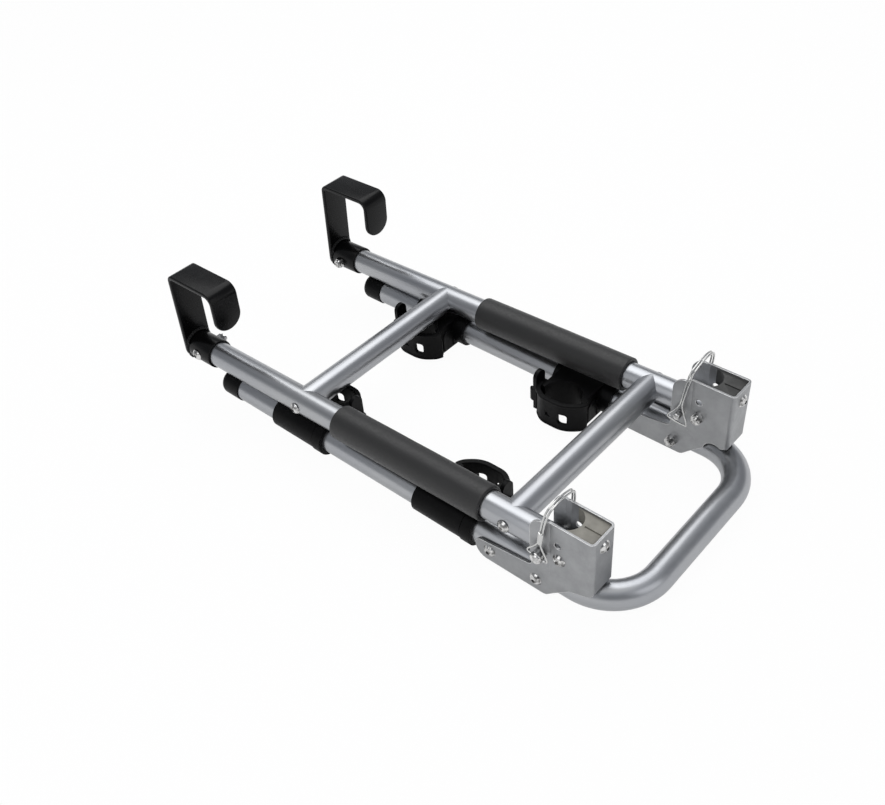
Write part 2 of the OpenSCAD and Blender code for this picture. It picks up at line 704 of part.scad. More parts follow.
rail(1);  // rail_left
rail(-1);  // rail_right
crossbar(upper_bar_at);  // crossbar_upper
crossbar(lower_bar_at);  // crossbar_lower
foam(1);  // foam_left
foam(-1);  // foam_right
hook(1);  // hook_left
hook(-1);  // hook_right
hook_bolt(1);  // hook_bolt_left
hook_bolt(-1);  // hook_bolt_right
crossbar_bolt(1, upper_bar_at);  // crossbar_bolt_upper_left
crossbar_bolt(-1, upper_bar_at);  // crossbar_bolt_upper_right
crossbar_bolt(1, lower_bar_at);  // crossbar_bolt_lower_left
crossbar_bolt(-1, lower_bar_at);  // crossbar_bolt_lower_right
arm_tube();
cap(1);  // cap_left
cap(-1);  // cap_right
bracket(1);  // bracket_left
bracket(-1);  // bracket_right
seat(1);  // seat_left
seat(-1);  // seat_right
seat_screw(1);  // seat_screw_left
seat_screw(-1);  // seat_screw_right
arm_bolt(1, front_bolt_at);  // front_bolt_left
arm_bolt(-1, front_bolt_at);  // front_bolt_right
arm_bolt(1, rear_bolt_at);  // rear_bolt_left
arm_bolt(-1, rear_bolt_at);  // rear_bolt_right
pivot_bolt(1);  // pivot_bolt_left
pivot_bolt(-1);  // pivot_bolt_right
lock_pin(1);  // lock_pin_left
lock_pin(-1);  // lock_pin_right
bail(1);  // bail_left
bail(-1);  // bail_right
cradle(1, upper_cradle_at);  // cradle_upper_left
cradle(-1, upper_cradle_at);  // cradle_upper_right
cradle(1, lower_cradle_at);  // cradle_lower_left
cradle(-1, lower_cradle_at);  // cradle_lower_right
strap(1, upper_cradle_at);  // strap_upper_left
strap(-1, upper_cradle_at);  // strap_upper_right
strap(1, lower_cradle_at);  // strap_lower_left
strap(-1, lower_cradle_at);  // strap_lower_right
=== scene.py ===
import json
import math

import bpy
from mathutils import Matrix, Vector


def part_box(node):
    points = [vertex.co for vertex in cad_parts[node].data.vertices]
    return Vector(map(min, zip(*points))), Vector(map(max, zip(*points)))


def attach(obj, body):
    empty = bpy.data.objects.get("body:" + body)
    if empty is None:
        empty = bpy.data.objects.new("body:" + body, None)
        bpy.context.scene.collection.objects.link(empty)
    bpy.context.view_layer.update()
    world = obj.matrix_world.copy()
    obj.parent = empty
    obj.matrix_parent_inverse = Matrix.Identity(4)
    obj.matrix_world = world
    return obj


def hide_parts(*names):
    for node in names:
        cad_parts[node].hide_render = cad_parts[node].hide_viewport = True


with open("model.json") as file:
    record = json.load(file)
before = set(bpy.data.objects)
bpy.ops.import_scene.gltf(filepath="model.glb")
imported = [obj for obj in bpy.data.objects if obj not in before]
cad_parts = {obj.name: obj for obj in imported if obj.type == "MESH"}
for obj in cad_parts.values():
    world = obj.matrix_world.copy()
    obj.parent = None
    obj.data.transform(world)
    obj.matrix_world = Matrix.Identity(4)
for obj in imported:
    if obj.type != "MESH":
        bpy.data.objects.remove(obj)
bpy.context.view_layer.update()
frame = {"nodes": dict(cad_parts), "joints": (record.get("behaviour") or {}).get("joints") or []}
nodes = frame["nodes"]
bpy.ops.object.select_all(action="DESELECT")

# Camera
# It stands in front of the rack on the right, above it and turned a little to the left,
# where the photograph was taken from.
stance = Vector((0.51733, -0.5279, 0.65974))
turn, rise, roll = math.radians(45.61), math.radians(41.08), math.radians(-6.70)
level = Vector((math.cos(turn), math.sin(turn), 0))
back = Vector((math.sin(turn) * math.cos(rise), -math.cos(turn) * math.cos(rise), math.sin(rise)))
over = back.cross(level)
across = math.cos(roll) * level + math.sin(roll) * over
upward = math.cos(roll) * over - math.sin(roll) * level
lens = bpy.data.cameras.new("lens")
lens.lens = 41.33
lens.sensor_width = 36
lens.shift_x = -0.00358
lens.shift_y = 0.01723
lens.clip_start = 0.02
camera = bpy.data.objects.new("camera", lens)
camera.matrix_world = Matrix.Translation(stance) @ Matrix((across, upward, back)).transposed().to_4x4()
bpy.context.scene.collection.objects.link(camera)
bpy.context.scene.camera = camera

# Studio floor
# A pale matt floor that keeps the rack's shadow. The camera and the metal see mostly the white
# below it through it, so that the arms stay in sight where they fold out past it.
bpy.ops.mesh.primitive_plane_add(size=14, location=(0, 0, 0))
floor = bpy.context.object
floor.name = "floor"
pale = bpy.data.materials.new("pale_floor")
pale.use_nodes = True
tree = pale.node_tree
tree.nodes.clear()
matt = tree.nodes.new("ShaderNodeBsdfDiffuse")
matt.inputs["Color"].default_value = (0.86, 0.86, 0.87, 1)
clear = tree.nodes.new("ShaderNodeBsdfTransparent")
seen_straight, seen_mirrored = 0.965, 0.5


def combine(tree, operation, first, second):
    """A Math node on two sockets, or on a socket and a number."""
    worked = tree.nodes.new("ShaderNodeMath")
    worked.operation = operation
    tree.links.new(first, worked.inputs[0])
    if isinstance(second, float):
        worked.inputs[1].default_value = second
    else:
        tree.links.new(second, worked.inputs[1])
    return worked.outputs[0]


def show_by_ray(tree, share, lit, shown, kind):
    """Gives the share of the rays the shown shader, and the others the lit one."""
    blend = tree.nodes.new("ShaderNodeMixShader")
    out = tree.nodes.new(kind)
    tree.links.new(share, blend.inputs[0])
    tree.links.new(lit.outputs[0], blend.inputs[1])
    tree.links.new(shown.outputs[0], blend.inputs[2])
    tree.links.new(blend.outputs[0], out.inputs["Surface"])


rays = tree.nodes.new("ShaderNodeLightPath").outputs
straight = combine(tree, "MULTIPLY", rays["Is Camera Ray"], seen_straight)
mirrored = combine(tree, "MAXIMUM", rays["Is Glossy Ray"], rays["Is Transmission Ray"])
mirrored = combine(tree, "MULTIPLY", mirrored, seen_mirrored)
show_by_ray(tree, combine(tree, "MAXIMUM", straight, mirrored), matt, clear, "ShaderNodeOutputMaterial")
floor.data.materials.append(pale)

# Studio walls and lamps
# White up to the horizon, grey walls above it and a white ceiling, so that the satin tubes show a
# bright streak from above, a dark one from the walls and a pale one from the floor. Three soft boxes
# and a weak even light fall on the rack.
world = bpy.data.worlds.new("studio")
bpy.context.scene.world = world
world.use_nodes = True
tree = world.node_tree
tree.nodes.clear()
heading = tree.nodes.new("ShaderNodeTexCoord")
parts = tree.nodes.new("ShaderNodeSeparateXYZ")
walls = tree.nodes.new("ShaderNodeValToRGB")
walls.color_ramp.elements[0].position = 0.12
walls.color_ramp.elements[0].color = (1, 1, 1, 1)
walls.color_ramp.elements[1].position = 0.97
walls.color_ramp.elements[1].color = (1, 1, 1, 1)
for at, grey in ((0.2, 0.42), (0.5, 0.28), (0.74, 0.36), (0.87, 0.6)):
    stop = walls.color_ramp.elements.new(at)
    stop.color = (grey * 0.96, grey * 0.99, grey * 1.05, 1)
shown = tree.nodes.new("ShaderNodeBackground")
soft = tree.nodes.new("ShaderNodeBackground")
soft.inputs["Color"].default_value = (0.97, 0.985, 1, 1)
soft.inputs["Strength"].default_value = 0.55
tree.links.new(heading.outputs["Generated"], parts.inputs[0])
tree.links.new(parts.outputs["Z"], walls.inputs[0])
tree.links.new(walls.outputs[0], shown.inputs["Color"])
rays = tree.nodes.new("ShaderNodeLightPath").outputs
seen = combine(tree, "MAXIMUM", rays["Is Camera Ray"], rays["Is Glossy Ray"])
seen = combine(tree, "MAXIMUM", seen, rays["Is Transmission Ray"])
show_by_ray(tree, seen, soft, shown, "ShaderNodeOutputWorld")
for name, place, width, power in (
    ("softbox_above", (-0.55, 0.45, 1.5), 1.5, 13),
    ("softbox_front", (0.0, -1.0, 0.75), 0.8, 2.2),
    ("softbox_side", (1.5, 0.1, 0.9), 0.9, 2.5),
):
    lamp = bpy.data.lights.new(name, "AREA")
    lamp.size = width
    lamp.energy = power
    box = bpy.data.objects.new(name, lamp)
    box.location = place
    box.rotation_euler = (Vector((0, 0, 0.05)) - Vector(place)).to_track_quat("-Z", "Y").to_euler()
    bpy.context.scene.collection.objects.link(box)
bpy.context.scene.view_settings.view_transform = "Standard"

# Side tubes, crossbars and arm tube
# Drawn aluminium tube, 25.4 mm across, anodised to a satin silver. The crossbars' ends are cut to the
# side tubes' curve and a bolt through each side tube holds them. The arm tube is bent from the same.
def finish(name, colour, metallic, roughness):
    made = bpy.data.materials.new(name)
    made.use_nodes = True
    surface = made.node_tree.nodes["Principled BSDF"]
    surface.inputs["Base Color"].default_value = (*colour, 1)
    surface.inputs["Metallic"].default_value = metallic
    surface.inputs["Roughness"].default_value = roughness
    return made


def place_on(made, stretch=(1, 1, 1)):
    tree = made.node_tree
    coords = tree.nodes.new("ShaderNodeTexCoord")
    mapped = tree.nodes.new("ShaderNodeMapping")
    mapped.inputs["Scale"].default_value = stretch
    tree.links.new(coords.outputs["Object"], mapped.inputs["Vector"])
    return mapped.outputs["Vector"]


def noise(made, coords, scale, detail=3):
    tree = made.node_tree
    grain = tree.nodes.new("ShaderNodeTexNoise")
    grain.inputs["Scale"].default_value = scale
    grain.inputs["Detail"].default_value = detail
    tree.links.new(coords, grain.inputs["Vector"])
    return grain.outputs["Fac"]


def vary(made, pattern, socket, low, high, start=0.3, stop=0.7):
    tree = made.node_tree
    spread = tree.nodes.new("ShaderNodeMapRange")
    spread.inputs["From Min"].default_value = start
    spread.inputs["From Max"].default_value = stop
    spread.inputs["To Min"].default_value = low
    spread.inputs["To Max"].default_value = high
    tree.links.new(pattern, spread.inputs["Value"])
    tree.links.new(spread.outputs["Result"], tree.nodes["Principled BSDF"].inputs[socket])


def tint(made, pattern, dark, light, start=0.35, stop=0.65):
    tree = made.node_tree
    ramp = tree.nodes.new("ShaderNodeValToRGB")
    ramp.color_ramp.elements[0].position = start
    ramp.color_ramp.elements[0].color = (*dark, 1)
    ramp.color_ramp.elements[1].position = stop
    ramp.color_ramp.elements[1].color = (*light, 1)
    tree.links.new(pattern, ramp.inputs[0])
    tree.links.new(ramp.outputs[0], tree.nodes["Principled BSDF"].inputs["Base Color"])
    return ramp


def emboss(made, pattern, strength, depth):
    tree = made.node_tree
    bump = tree.nodes.new("ShaderNodeBump")
    bump.inputs["Strength"].default_value = strength
    bump.inputs["Distance"].default_value = depth
    tree.links.new(pattern, bump.inputs["Height"])
    tree.links.new(bump.outputs["Normal"], tree.nodes["Principled BSDF"].inputs["Normal"])
    return bump


def dress(made, *names):
    for name in names:
        data = nodes[name].data
        data.materials.clear()
        data.materials.append(made)


def anodised(name, stretch):
    made = finish(name, (0.4, 0.41, 0.43), 1, 0.3)
    drawn = place_on(made, stretch)
    tint(made, noise(made, place_on(made), 14), (0.39, 0.4, 0.42), (0.43, 0.438, 0.45))
    vary(made, noise(made, drawn, 260, 4), "Roughness", 0.28, 0.34)
    emboss(made, noise(made, drawn, 900, 2), 0.02, 0.00001)
    return made


dress(anodised("anodised_lengthwise", (0.06, 1, 1)), "rail_left", "rail_right")
dress(anodised("anodised_across", (1, 0.06, 1)), "crossbar_upper", "crossbar_lower")
dress(anodised("anodised_bent", (1, 1, 1)), "arm_tube")

# Bolts, nuts and screws
# Stainless button heads with a hexagon recess, turned bright, and their lock nuts. They
# hold the crossbars, hooks, brackets and seat blocks. The lock pins hold the folded arms.
stainless = finish("stainless", (0.72, 0.71, 0.69), 1, 0.2)
# Sharp patches of dark and light grey in the base colour are painted reflection of the surroundings on the
# heads.
tint(
    stainless, noise(stainless, place_on(stainless), 300),
    dark=(0.2, 0.198, 0.195), light=(0.74, 0.735, 0.725), start=0.4, stop=0.6,
)
vary(stainless, noise(stainless, place_on(stainless), 700), "Roughness", 0.06, 0.13)
emboss(stainless, noise(stainless, place_on(stainless), 1500, 2), 0.15, 0.00003)
fixings = [name for name in nodes if "bolt" in name or "screw" in name or name.startswith("lock_pin")]
dress(stainless, *fixings)

# Brackets
# Folded from steel sheet, plated satin grey and bolted over the arm tube's bends. Their edges get a painted
# highlight, near white in the base colour: near an edge the Bevel node's normal turns away from the face's
# own.
plated = finish("plated_sheet", (0.35, 0.355, 0.365), 0.9, 0.42)
cloud = tint(plated, noise(plated, place_on(plated), 60, 5), (0.32, 0.325, 0.332), (0.375, 0.38, 0.388))
vary(plated, noise(plated, place_on(plated), 420), "Roughness", 0.36, 0.5)
fine = emboss(plated, noise(plated, place_on(plated), 1400, 2), 0.2, 0.00004)
tree = plated.node_tree
rounding = tree.nodes.new("ShaderNodeBevel")
rounding.samples = 6
rounding.inputs["Radius"].default_value = 0.0007
surface_way = tree.nodes.new("ShaderNodeNewGeometry")
along_edge = tree.nodes.new("ShaderNodeVectorMath")
along_edge.operation = "DOT_PRODUCT"
edge = tree.nodes.new("ShaderNodeMapRange")
edge.inputs["From Min"].default_value = 0.998
edge.inputs["From Max"].default_value = 0.93
edge.inputs["To Min"].default_value = 0
edge.inputs["To Max"].default_value = 1
# Painted highlight: the base colour turns near white along the sheet's edges.
edge_painted_highlight = tree.nodes.new("ShaderNodeMix")
edge_painted_highlight.data_type = "RGBA"
edge_painted_highlight.inputs["B"].default_value = (0.96, 0.96, 0.95, 1)
tree.links.new(rounding.outputs[0], fine.inputs["Normal"])
tree.links.new(rounding.outputs[0], along_edge.inputs[0])
tree.links.new(surface_way.outputs["Normal"], along_edge.inputs[1])
tree.links.new(along_edge.outputs["Value"], edge.inputs["Value"])
tree.links.new(edge.outputs["Result"], edge_painted_highlight.inputs["Factor"])
tree.links.new(cloud.outputs[0], edge_painted_highlight.inputs["A"])
tree.links.new(edge_painted_highlight.outputs["Result"], tree.nodes["Principled BSDF"].inputs["Base Color"])
dress(plated, "bracket_left", "bracket_right")

# Caps and cradles
# Black mouldings of hard plastic with a fine grain from the mould. The caps are pushed over the arm
# tube's ends, and each cradle's sleeve turns on an arm.
def moulding(name, colour, smooth, rough, grain):
    made = finish(name, colour, 0, 0.4)
    made.node_tree.nodes["Principled BSDF"].inputs["Specular IOR Level"].default_value = 0.1
    dark = tuple(c * 0.75 for c in colour)
    light = tuple(c * 1.35 for c in colour)
    tint(made, noise(made, place_on(made), 70), dark, light)
    vary(made, noise(made, place_on(made), 350), "Roughness", smooth, rough)
    sparked = emboss(made, noise(made, place_on(made), grain, 2), 0.25, 0.00007)
    soft_edge = made.node_tree.nodes.new("ShaderNodeBevel")
    soft_edge.samples = 4
    soft_edge.inputs["Radius"].default_value = 0.0006
    made.node_tree.links.new(soft_edge.outputs[0], sparked.inputs["Normal"])
    return made


cradle_plastic = moulding("cradle_plastic", (0.0022, 0.0022, 0.0024), 0.32, 0.46, 1100)
dress(cradle_plastic, *[name for name in nodes if name.startswith("cradle")])
cap_plastic = moulding("cap_plastic", (0.0025, 0.0025, 0.0027), 0.28, 0.4, 1400)
dress(cap_plastic, "cap_left", "cap_right")

# Foam grip sleeves
# Closed-cell foam tube, cut to length and pushed over the middle of the side tube, which it grips.
# It is matt charcoal, slightly uneven and soft at its ends.
foam = finish("grip_foam", (0.008, 0.0078, 0.008), 0, 0.5)
for socket, value in (("Sheen Weight", 0.08), ("Sheen Roughness", 0.5), ("Specular IOR Level", 0.5)):
    foam.node_tree.nodes["Principled BSDF"].inputs[socket].default_value = value
streaks = noise(foam, place_on(foam, (0.3, 1, 1)), 60, 5)
tint(foam, streaks, (0.0065, 0.0063, 0.0065), (0.0095, 0.0093, 0.0095))
vary(foam, noise(foam, place_on(foam), 500), "Roughness", 0.4, 0.54)
cells = foam.node_tree.nodes.new("ShaderNodeTexVoronoi")
cells.inputs["Scale"].default_value = 1500
foam.node_tree.links.new(place_on(foam), cells.inputs["Vector"])
emboss(foam, cells.outputs["Distance"], 0.2, 0.00008)
tube_radius = 0.0127
foam_rings = 48


def rounded(width, segments, least_angle=30):
    limits = {"limit_method": "ANGLE", "angle_limit": math.radians(least_angle)}
    return "BEVEL", {"width": width, "segments": segments, **limits}


def finish_with(piece, *steps):
    bpy.context.view_layer.objects.active = piece
    for kind, values in steps:
        step = piece.modifiers.new(kind.lower(), kind)
        for setting, value in values.items():
            setattr(step, setting, value)
        bpy.ops.object.modifier_apply(modifier=step.name)


def settle(piece, node, body, made):
    piece.data.materials.clear()
    piece.data.materials.append(made)
    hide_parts(node)
    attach(piece, body)
    bpy.ops.object.select_all(action="DESELECT")


for side in ("left", "right"):
    low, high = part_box("foam_" + side)
    middle = (low + high) / 2
    outer = (high.z - low.z) / 2
    bpy.ops.mesh.primitive_cylinder_add(
        vertices=96, radius=outer - 0.0002, depth=high.x - low.x, end_fill_type="NOTHING",
        location=middle, rotation=(0, math.pi / 2, 0),
    )
    sleeve = bpy.context.object
    sleeve.name = "grip_sleeve_" + side
    bpy.ops.object.transform_apply()
    bpy.ops.object.mode_set(mode="EDIT")
    for ring in range(1, foam_rings):
        bpy.ops.mesh.select_all(action="SELECT")
        cut_x = low.x + (high.x - low.x) * ring / foam_rings
        bpy.ops.mesh.bisect(plane_co=(cut_x, 0, 0), plane_no=(1, 0, 0))
    bpy.ops.object.mode_set(mode="OBJECT")
    swell = bpy.data.textures.new("swell_" + side, "CLOUDS")
    swell.noise_scale = 0.03
    finish_with(
        sleeve,
        ("DISPLACE", {"texture": swell, "strength": 0.0004, "mid_level": 0.9}),
        ("SOLIDIFY", {"thickness": outer - tube_radius - 0.0005, "offset": -1}),
        rounded(0.0012, 4, 60),
    )
    bpy.ops.object.shade_smooth_by_angle(angle=math.radians(40))
    settle(sleeve, "foam_" + side, "rack_frame", foam)

# Hooks
# Flat steel bar bent over the rung, its ends ground half round, with a short socket welded to the
# leg by a rippled bead. All of it is powder coated in a half gloss black.
pivot = Vector(next(joint for joint in frame["joints"] if joint["name"] == "arm_fold")["pos_m"])
rail_y = 0.1025
bar_width, bar_thickness = 0.0303, 0.0045
leg_back, leg_lean = -0.4705, math.radians(5)
hook_top, top_fall, back_bend = 0.092, math.radians(0.8), 0.0075
front_out, front_drop, front_lean, front_bend = 0.0752, 0.0465, math.radians(4), 0.0105
socket_radius, socket_length = 0.0147, 0.0335
bead_radius, bead_rise, ripples, ripple_points = 0.0022, 0.0014, 34, 4
coat = finish("powder_coat", (0.002, 0.002, 0.0022), 0, 0.26)
coat.node_tree.nodes["Principled BSDF"].inputs["Specular IOR Level"].default_value = 0.18
vary(coat, noise(coat, place_on(coat), 120), "Roughness", 0.22, 0.3)
tint(coat, noise(coat, place_on(coat), 40), (0.0015, 0.0015, 0.0017), (0.0026, 0.0026, 0.0028))
emboss(coat, noise(coat, place_on(coat), 550, 1), 0.25, 0.00008)


def pick(piece, wanted):
    bpy.ops.object.mode_set(mode="EDIT")
    bpy.ops.mesh.select_all(action="DESELECT")
    bpy.ops.object.mode_set(mode="OBJECT")
    for vertex in piece.data.vertices:
        vertex.select = wanted(vertex.co)
    bpy.ops.object.mode_set(mode="EDIT")


def run_along(corners, axis, steps):
    """Carries what is selected along straight runs and round the bends between them."""
    at = corners[0][0]
    for index in range(1, len(corners) - 1):
        point, radius = corners[index]
        into = (point - at).normalized()
        onward = (corners[index + 1][0] - point).normalized()
        bend = into.angle(onward)
        way = 1 if into.cross(onward).dot(axis) > 0 else -1
        start = point - into * radius * math.tan(bend / 2)
        bpy.ops.mesh.extrude_region_move(TRANSFORM_OT_translate={"value": start - at})
        middle = start + axis.cross(into) * way * radius
        bpy.ops.mesh.spin(steps=steps, angle=-way * bend, center=middle, axis=axis)
        at = point + onward * radius * math.tan(bend / 2)
    bpy.ops.mesh.extrude_region_move(TRANSFORM_OT_translate={"value": corners[-1][0] - at})


def merge_pieces(*pieces):
    bpy.ops.object.select_all(action="DESELECT")
    for piece in pieces:
        piece.select_set(True)
    bpy.context.view_layer.objects.active = pieces[0]
    bpy.ops.object.join()
    return pieces[0]


for side, way in (("left", 1), ("right", -1)):
    middle = Vector((pivot.x, way * rail_y, pivot.z))

    def spot(x, z):
        return middle + Vector((x, 0, z))

    leg = Vector((math.sin(leg_lean), 0, math.cos(leg_lean)))
    top_x = leg_back + hook_top * math.tan(leg_lean)
    front = leg_back + front_out
    front_top = hook_top - (front - top_x) * math.tan(top_fall)
    lip_end = spot(front - front_drop * math.tan(front_lean), hook_top - front_drop)
    bpy.ops.mesh.primitive_plane_add(
        size=bar_width, location=spot(leg_back, 0), rotation=(0, leg_lean - math.pi / 2, 0)
    )
    hook = bpy.context.object
    hook.name = "bent_hook_" + side
    bpy.ops.object.transform_apply()
    pick(hook, lambda place: place.z > middle.z)
    run_along(
        [
            (spot(leg_back, 0) + leg * bar_width / 2, 0),
            (spot(top_x, hook_top), back_bend),
            (spot(front, front_top), front_bend),
            (lip_end, 0),
        ],
        Vector((0, 1, 0)),
        9,
    )
    tip_z = lip_end.z + 0.0001
    tip_x = spot(front - 0.01, 0).x
    foot_z = middle.z - bar_width / 2 * leg.z + 0.0001
    pick(hook, lambda place: place.z < foot_z or (place.z < tip_z and place.x > tip_x))
    bpy.ops.mesh.bevel(offset=bar_width / 2 - 0.0002, segments=12, affect="VERTICES")
    bpy.ops.object.mode_set(mode="OBJECT")
    finish_with(
        hook,
        ("SOLIDIFY", {"thickness": bar_thickness, "offset": -1, "use_even_offset": True}),
        rounded(0.0014, 4, 50),
    )
    socket_middle = leg_back + bar_thickness * 0.75 + socket_length / 2
    bpy.ops.mesh.primitive_cylinder_add(
        vertices=96, radius=socket_radius, depth=socket_length + bar_thickness / 2,
        end_fill_type="NOTHING", location=spot(socket_middle, 0), rotation=(0, math.pi / 2, 0),
    )
    socket = bpy.context.object
    bpy.ops.object.transform_apply()
    finish_with(
        socket,
        ("SOLIDIFY", {"thickness": socket_radius - tube_radius - 0.00005, "offset": -1}),
        rounded(0.0006, 3, 50),
    )
    bead_middle = spot(leg_back + bar_thickness, bead_rise)
    bpy.ops.mesh.primitive_torus_add(
        major_radius=socket_radius + 0.0004, minor_radius=bead_radius,
        major_segments=ripple_points * ripples, minor_segments=14,
        location=bead_middle, rotation=(0, math.pi / 2 + leg_lean, 0),
    )
    bead = bpy.context.object
    bpy.ops.object.transform_apply()

    def on_ripple(place):
        off = place - bead_middle
        turned = math.atan2(off.z, off.y) / math.tau * ripple_points * ripples
        lag = 1.6 * math.hypot(off.y, off.z) / socket_radius
        return round(turned + ripple_points * lag) % ripple_points < ripple_points / 2

    pick(bead, on_ripple)
    bpy.ops.transform.shrink_fatten(value=0.0006)
    # The bead stays behind the bar's edges, where its ring would stand out at the sides.
    pick(bead, lambda place: abs(place.y - middle.y) > bar_width / 2 - 0.001)
    bpy.ops.transform.shrink_fatten(value=-0.0019)
    bpy.ops.object.mode_set(mode="OBJECT")
    finish_with(bead, ("SUBSURF", {"levels": 1, "render_levels": 1}))
    hook = merge_pieces(hook, socket, bead)
    bpy.ops.object.shade_smooth_by_angle(angle=math.radians(40))
    settle(hook, "hook_" + side, "rack_frame", coat)

# Seat blocks
# Moulded beige grey nylon with a faint grain. The left block is a dark grey copy of it, painted shade for
# the shade inside its bracket. One fills the end of each bracket's box, held by the end screw. Its half
# round hollow takes the side tube when the arms are folded out. A block is made about the pivot and then
# moved to its bracket.
def seat_nylon(name, dark, light):
    made = finish(name, light, 0, 0.5)
    tint(made, noise(made, place_on(made), 90), dark, light)
    vary(made, noise(made, place_on(made), 500), "Roughness", 0.42, 0.58)
    emboss(made, noise(made, place_on(made), 900), 0.25, 0.00006)
    return made


nylon = {
    # The left block's dark grey colour is painted shade.
    "left": seat_nylon("nylon_painted_shade", (0.036, 0.036, 0.035), (0.05, 0.05, 0.048)),
    "right": seat_nylon("beige_nylon", (0.21, 0.2, 0.175), (0.27, 0.257, 0.225)),
}
tilt = math.radians(1.6)
arm_lean = Matrix.Rotation(tilt, 4, "Y")
hollow_lean, hollow_radius = math.radians(-4.6), 0.013
seat_low, seat_top = Vector((-0.002, -0.013, 0.0195)), Vector((0.0291, 0.013, 0.0352))
seat_end, corner_round = seat_top.x - 0.0001, 0.0022
screw_room, screw_rise = 0.003, 0.025
groove_middle, groove_size = (0.0277, 0, seat_top.z), (0.03, 0.0015, 0.0026)


def cut_out(piece, cutter):
    finish_with(piece, ("BOOLEAN", {"operation": "DIFFERENCE", "object": cutter, "solver": "EXACT"}))
    bpy.data.objects.remove(cutter)


for side, way in (("left", 1), ("right", -1)):
    bpy.ops.mesh.primitive_cube_add(size=1, location=(seat_low + seat_top) / 2)
    seat = bpy.context.object
    seat.name = "seat_block_" + side
    seat.scale = seat_top - seat_low
    bpy.ops.object.transform_apply()
    pick(seat, lambda place: place.x > seat_end)
    bpy.ops.mesh.select_mode(type="EDGE")
    bpy.ops.object.mode_set(mode="OBJECT")
    for edge in seat.data.edges:
        ends = [seat.data.vertices[index].co for index in edge.vertices]
        upright = abs(ends[0].z - ends[1].z) > 0.01
        edge.select = upright and all(end.x > seat_end for end in ends)
    bpy.ops.object.mode_set(mode="EDIT")
    bpy.ops.mesh.bevel(offset=corner_round, segments=6, affect="EDGES")
    bpy.ops.mesh.select_mode(type="VERT")
    bpy.ops.object.mode_set(mode="OBJECT")
    bpy.ops.mesh.primitive_cylinder_add(
        vertices=128, radius=hollow_radius, depth=0.12, location=(0, 0, 0), rotation=(0, hollow_lean, 0)
    )
    cut_out(seat, bpy.context.object)
    # The block's inner end is cut square to the hollow.
    hollow_turn = Matrix.Rotation(hollow_lean, 3, "Y")
    bpy.ops.mesh.primitive_cube_add(
        size=0.1, location=hollow_turn @ Vector((-0.05, 0, 0.02)), rotation=(0, hollow_lean, 0)
    )
    cut_out(seat, bpy.context.object)
    bpy.ops.mesh.primitive_cylinder_add(
        vertices=48, radius=screw_room, depth=0.06, location=(0.02, 0, screw_rise),
        rotation=(0, math.pi / 2, 0),
    )
    cut_out(seat, bpy.context.object)
    bpy.ops.mesh.primitive_cube_add(size=1, location=groove_middle)
    groove = bpy.context.object
    groove.scale = groove_size
    cut_out(seat, groove)
    finish_with(seat, rounded(0.00025, 2, 45))
    seat.matrix_world = Matrix.Translation(pivot) @ arm_lean @ Matrix.Translation((0, way * rail_y, 0))
    bpy.ops.object.select_all(action="DESELECT")
    seat.select_set(True)
    bpy.ops.object.transform_apply()
    bpy.ops.object.shade_smooth_by_angle(angle=math.radians(30))
    settle(seat, "seat_" + side, "support_arms", nylon[side])

# Cradle straps
# Moulded black rubber bands with a thick lip along the top edge, a thinner one below, a window and
# two smaller holes. The root turns on a barrel at the cradle's wall, and the end hooks over a peg on
# the post. One is made round a trough at the origin and then copied to the four cradles.
strap_rubber = moulding("strap_rubber", (0.0024, 0.0024, 0.0026), 0.4, 0.54, 800)
band, half_width = 0.0035, 0.016
upper_lip, upper_lip_out = 0.0026, 0.0014
lower_lip, lower_lip_out = 0.002, 0.0008
trough = Vector((0.0035, 0.039, 0))
strap_end_x, end_y = 0.0276, trough.y - 0.004
hinge = Vector((-0.0184, 0.034, 0))
root_x, band_y = hinge.x - band / 2, 0.0495
bpy.ops.mesh.primitive_plane_add(size=1, location=(0, 0, 0), rotation=(math.pi / 2, 0, 0))
strap = bpy.context.object
strap.name = "rubber_strap"
strap.scale = (band, 2 * half_width, 1)
strap.location = (strap_end_x + band / 2, end_y, 0)
bpy.ops.object.transform_apply()
bpy.ops.object.mode_set(mode="EDIT")
for height in (half_width - upper_lip, lower_lip - half_width):
    bpy.ops.mesh.select_all(action="SELECT")
    bpy.ops.mesh.bisect(plane_co=(0, 0, height), plane_no=(0, 0, 1))
outside = strap_end_x + band - 0.0001
pick(strap, lambda place: place.x > outside and place.z > half_width - upper_lip - 0.0001)
bpy.ops.mesh.extrude_region_move(TRANSFORM_OT_translate={"value": (upper_lip_out, 0, 0)})
pick(strap, lambda place: place.x > outside and place.z < lower_lip + 0.0001 - half_width)
bpy.ops.mesh.extrude_region_move(TRANSFORM_OT_translate={"value": (lower_lip_out, 0, 0)})
bpy.ops.mesh.select_all(action="SELECT")
bpy.ops.mesh.remove_doubles(threshold=0.00001)
bpy.ops.mesh.dissolve_faces()
bpy.ops.mesh.bevel(offset=0.0006, segments=3, affect="VERTICES")
bpy.ops.mesh.select_all(action="SELECT")
run_along(
    [
        (Vector((strap_end_x, end_y, 0)), 0),
        (Vector((strap_end_x, trough.y + 0.003, 0)), 0.009),
        (Vector((strap_end_x - 0.01, band_y, 0)), 0.014),
        (Vector((root_x + 0.014, band_y, 0)), 0.024),
        (Vector((root_x + 0.001, hinge.y + 0.005, 0)), 0.013),
        (Vector((root_x, hinge.y + 0.001, 0)), 0),
    ],
    Vector((0, 0, 1)),
    10,
)
bpy.ops.mesh.select_all(action="SELECT")
bpy.ops.mesh.normals_make_consistent(inside=False)
bpy.ops.object.mode_set(mode="OBJECT")


